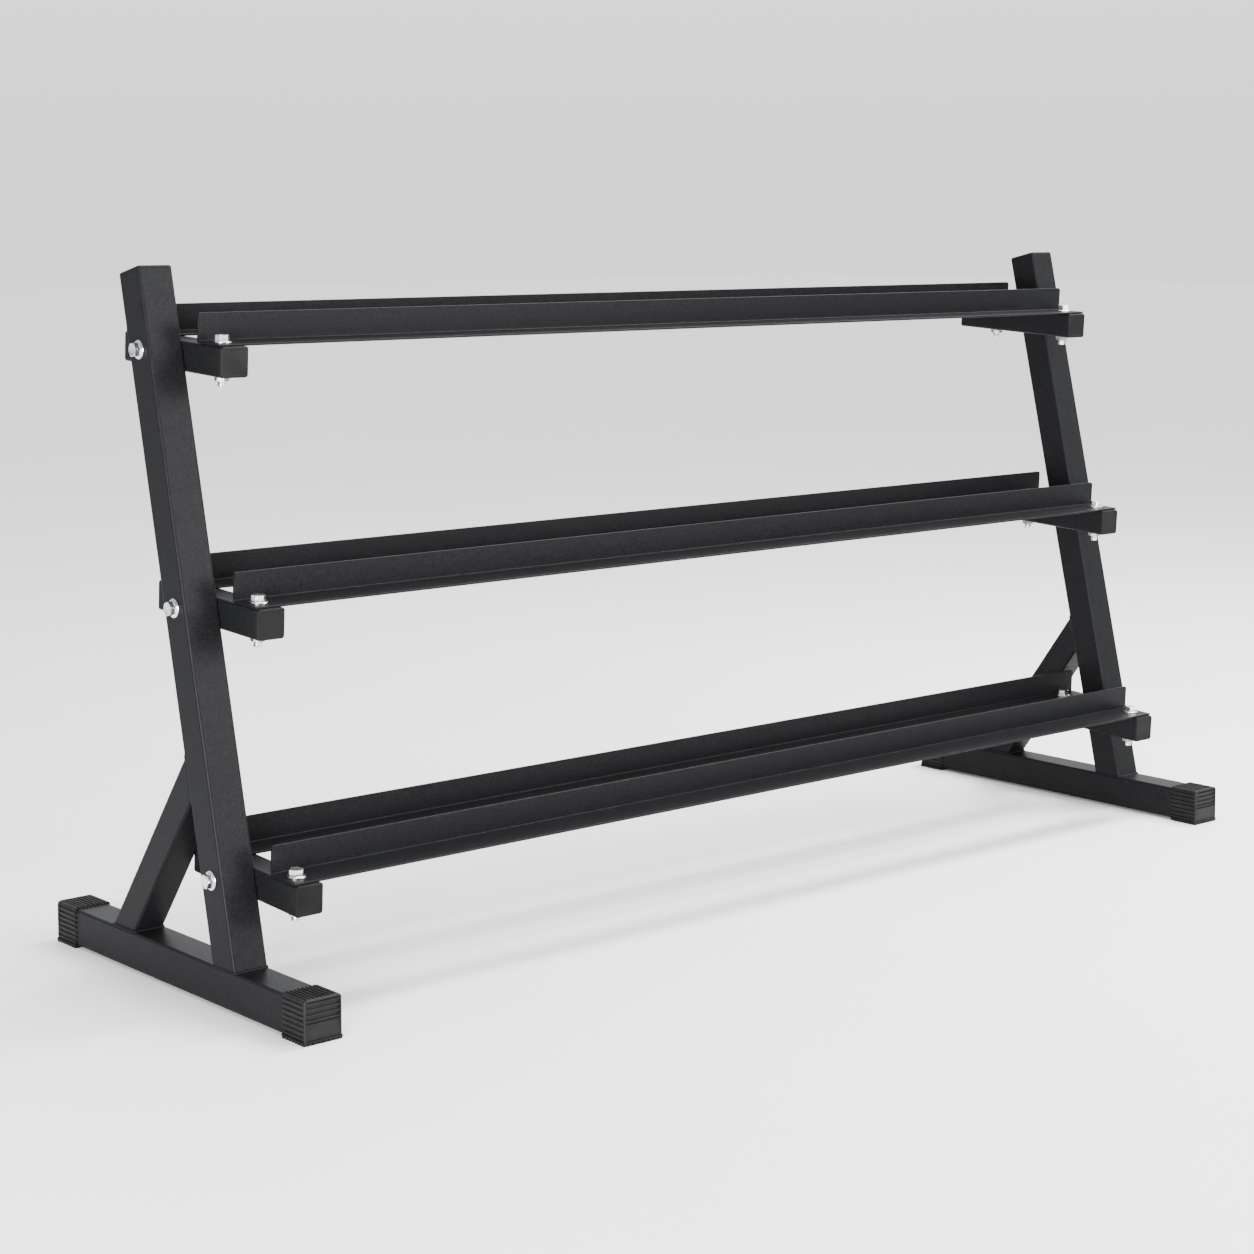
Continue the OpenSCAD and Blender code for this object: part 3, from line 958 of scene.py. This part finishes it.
def foot_cap_shape():
    """A foot cap with its outer end at Y = 0 and its sleeve running to +Y, standing on Z = 0."""
    shape = cap_sleeve()
    half = CAP_SIDE / 2
    here = Matrix()
    ledge_top = TREAD_H + LEDGE_H
    low = ledge_top + 0.8 * MM
    high = CAP_SIDE - 3.0 * MM
    panel_h = (high - low) * 0.42
    width = CAP_BODY - 3.2 * MM
    pitch = (high - low - panel_h) / END_RIBS
    for i in range(END_RIBS):
        z = high - (i + 0.5) * pitch
        shape.placed(bar_shape(width / 2, END_RECESS, z, END_RECESS - 0.2 * MM, pitch * 0.44), here)
    centre = (0, low + panel_h / 2)
    shape.placed(panel_shape(width, panel_h, centre, 0.3 * MM, END_RECESS + 0.4 * MM), here)
    ledge = block_shape((-half, 0.0, TREAD_H), (half, 3.5 * MM, ledge_top), 0.6 * MM)
    shape.placed(ledge, here)
    for i in range(END_TREADS):
        x = (i - (END_TREADS - 1) / 2) * (CAP_SIDE - TREAD_W) / (END_TREADS - 0.9)
        stud = ((x - TREAD_W / 2, 0.3 * MM, 0.0), (x + TREAD_W / 2, 3.5 * MM, TREAD_H + 0.4 * MM))
        shape.placed(block_shape(*stud, 0.4 * MM), here)
    for sign in (-1, 1):
        for i in range(SIDE_TREADS):
            y = (i + 0.9) * CAP_L / (SIDE_TREADS + 0.4)
            turn = Matrix.Translation((sign * half, y, 0)) @ Matrix.Rotation(sign * math.pi / 2, 4, "Z")
            stud = ((-TREAD_W / 2, 0.3 * MM, 0.0), (TREAD_W / 2, 3.0 * MM, TREAD_H + 0.4 * MM))
            shape.placed(block_shape(*stud, 0.4 * MM), turn)
    return shape


def build_foot_caps():
    cap = foot_cap_shape()
    for side in SIDES:
        for end, sign in ENDS.items():
            node = f"{side}_{end}_foot_cap"
            low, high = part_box(node)
            outer_y = low.y if sign < 0 else high.y
            spin = Matrix.Rotation(0 if sign < 0 else math.pi, 4, "Z")
            place = Matrix.Translation((SIDES[side] * FRAME_X, outer_y, 0)) @ spin
            make_piece(f"{node}_skin", Shape().placed(cap, place), "rubber", [node], 40)


# ---------------------------------------------------------------- welds


WELD_STEP = 0.35 * MM
WELD_CORNER_R = 3.5 * MM
WELD_GAP = 0.4 * MM


def weld_path(half_x, half_y, corner):
    """Closely spaced points round a rounded rectangle in the XY plane."""
    outline = []
    for quarter, (sx, sy) in enumerate(((1, 1), (-1, 1), (-1, -1), (1, -1))):
        for i in range(9):
            a = math.pi / 2 * (quarter + i / 8)
            x = sx * (half_x - corner) + corner * math.cos(a)
            y = sy * (half_y - corner) + corner * math.sin(a)
            outline.append((x, y))
    path = []
    for (ax, ay), (bx, by) in zip(outline, outline[1:] + outline[:1]):
        cuts = max(1, int(math.hypot(bx - ax, by - ay) / WELD_STEP))
        for i in range(cuts):
            path.append(Vector((ax + (bx - ax) * i / cuts, ay + (by - ay) * i / cuts, 0)))
    return path


def weld_shape(half_x, half_y, corner=WELD_CORNER_R, radius=WELD_R, ripple=2.1 * MM):
    """A rippled bead laid round a tube's end, in the XY plane."""
    path = weld_path(half_x, half_y, corner)
    n = len(path)
    beads = max(1, round(n * WELD_STEP / ripple))
    rings = []
    for k, p in enumerate(path):
        forward = (path[(k + 2) % n] - path[k - 2]).normalized()
        side = Vector((forward.y, -forward.x, 0))
        phase = (k / n * beads) % 1.0
        swell = 1 + 0.16 * (math.sqrt(max(0.0, 1 - phase ** 2)) - 0.6)
        wide = side * radius * swell
        high = UP * radius * 0.8 * swell
        turns = [2 * math.pi * i / 8 for i in range(8)]
        rings.append([p + wide * math.cos(a) + high * math.sin(a) for a in turns])
    shape = Shape()
    shape.hoop(rings)
    return shape


def build_welds(side):
    x = SIDES[side] * FRAME_X
    shape = Shape()
    half_depth = TUBE / 2 / math.cos(LEAN)
    base = Matrix.Translation((x, UPRIGHT_BASE_Y + half_depth, FOOT_TOP))
    shape.placed(weld_shape(TUBE / 2 - 1.2 * MM, half_depth + WELD_GAP), base)
    place, angle, half_cut = brace_place(side)
    start = place.translation
    half_width = BRACE_TUBE / 2
    shape.placed(weld_shape(half_width, half_cut + WELD_GAP), Matrix.Translation(start))
    half_head = half_width / math.sin(angle + LEAN)
    axis = place.to_3x3() @ UP
    wall_point = Vector((0, upright_rear_y(FOOT_TOP), FOOT_TOP))
    reach = (wall_point - start).dot(UPRIGHT_REAR) / axis.dot(UPRIGHT_REAR)
    onto_wall = Matrix.Rotation(-LEAN - math.pi / 2, 4, "X")
    head = Matrix.Translation(start + axis * reach) @ onto_wall
    shape.placed(weld_shape(half_width, half_head + WELD_GAP), head)
    make_piece(f"{side}_welds_skin", shape, "powder_coat", [f"{side}_welds"], 60)


# ---------------------------------------------------------------- build everything

for side in SIDES:
    build_foot_tube(side)
    build_upright(side)
    build_brace(side)
    build_welds(side)
    build_weld_nuts(side)
    for tier in TIERS:
        build_arm(side, tier)
for tier in TIERS:
    for end in ENDS:
        build_rail(tier, end)
build_plugs()
build_foot_caps()

ARM_BOLT_TURNS = {"left": (8, 21, 2), "right": (14, 27, 5)}
for side, turns in ARM_BOLT_TURNS.items():
    for tier, turn in zip(TIERS, turns):
        build_arm_bolt(side, tier, turn)
RAIL_BOLT_TURNS = {"top": (12, 25, 4, 18), "middle": (7, 16, 22, 1), "bottom": (19, 3, 10, 27)}
for tier, turns in RAIL_BOLT_TURNS.items():
    build_rail_hardware(tier, turns)

# ---------------------------------------------------------------- floor, light and camera


def build_floor():
    size = 30.0
    mesh = bpy.data.meshes.new("floor")
    corners = [(-size, -size, 0), (size, -size, 0), (size, size, 0), (-size, size, 0)]
    mesh.from_pydata(corners, [], [(0, 1, 2, 3)])
    floor = bpy.data.objects.new("floor", mesh)
    bpy.context.scene.collection.objects.link(floor)
    mesh.materials.append(floor_material())


def area_light(name, place, target, size, power):
    data = bpy.data.lights.new(name, "AREA")
    data.shape = "RECTANGLE"
    data.size, data.size_y = size
    data.energy = power
    light = bpy.data.objects.new(name, data)
    light.visible_camera = False
    light.location = place
    light.rotation_euler = (Vector(target) - Vector(place)).to_track_quat("-Z", "Y").to_euler()
    bpy.context.scene.collection.objects.link(light)


def build_world():
    """A pale surround that falls off towards -X, so that the left faces stay dark."""
    world = bpy.data.worlds.new("studio")
    bpy.context.scene.world = world
    world.use_nodes = True
    tree = world.node_tree
    sky = tree.nodes["Background"]
    sky.inputs["Color"].default_value = (0.97, 0.98, 1.0, 1)
    where = tree.nodes.new("ShaderNodeTexCoord")
    parts = tree.nodes.new("ShaderNodeSeparateXYZ")
    tree.links.new(where.outputs["Generated"], parts.inputs["Vector"])
    across = ramp(tree, parts.outputs["X"], 0.20, 1.0, -0.75, 0.35)
    rise = ramp(tree, parts.outputs["Z"], 1.5, 3.1, 0.02, 0.55)
    both = tree.nodes.new("ShaderNodeMath")
    both.operation = "MULTIPLY"
    tree.links.new(across, both.inputs[0])
    tree.links.new(rise, both.inputs[1])
    tree.links.new(both.outputs["Value"], sky.inputs["Strength"])


def build_light():
    area_light("key", (-0.6, -3.6, 4.6), (0, 0, 0.3), (2.6, 2.0), 110)
    area_light("top", (0.9, 1.2, 4.4), (0.3, 0.1, 0), (4.0, 3.0), 60)
    area_light("rim", (2.0, -0.3, 3.0), (2.0, -0.3, 0), (3.0, 0.6), 300)
    area_light("front", (1.2, -3.0, 1.6), (-0.7, 0, 0.7), (1.6, 2.2), 190)
    area_light("edge", (-3.9, -2.4, 0.75), (-0.4, 0, 0.6), (1.8, 1.3), 600)


CAMERA_PLACE = (-2.728, -3.009, 1.050)
CAMERA_YAW = math.radians(40.8)
CAMERA_PITCH = math.radians(5.2)
CAMERA_LENS = 74.5
CAMERA_SHIFT = -0.141


def build_camera():
    data = bpy.data.cameras.new("camera")
    data.sensor_width = 36
    data.lens = CAMERA_LENS
    data.shift_y = CAMERA_SHIFT
    data.clip_start = 0.05
    data.clip_end = 100
    camera = bpy.data.objects.new("camera", data)
    camera.location = CAMERA_PLACE
    camera.rotation_euler = (math.pi / 2 - CAMERA_PITCH, 0, -CAMERA_YAW)
    bpy.context.scene.collection.objects.link(camera)
    bpy.context.scene.camera = camera


build_floor()
build_world()
build_light()
build_camera()
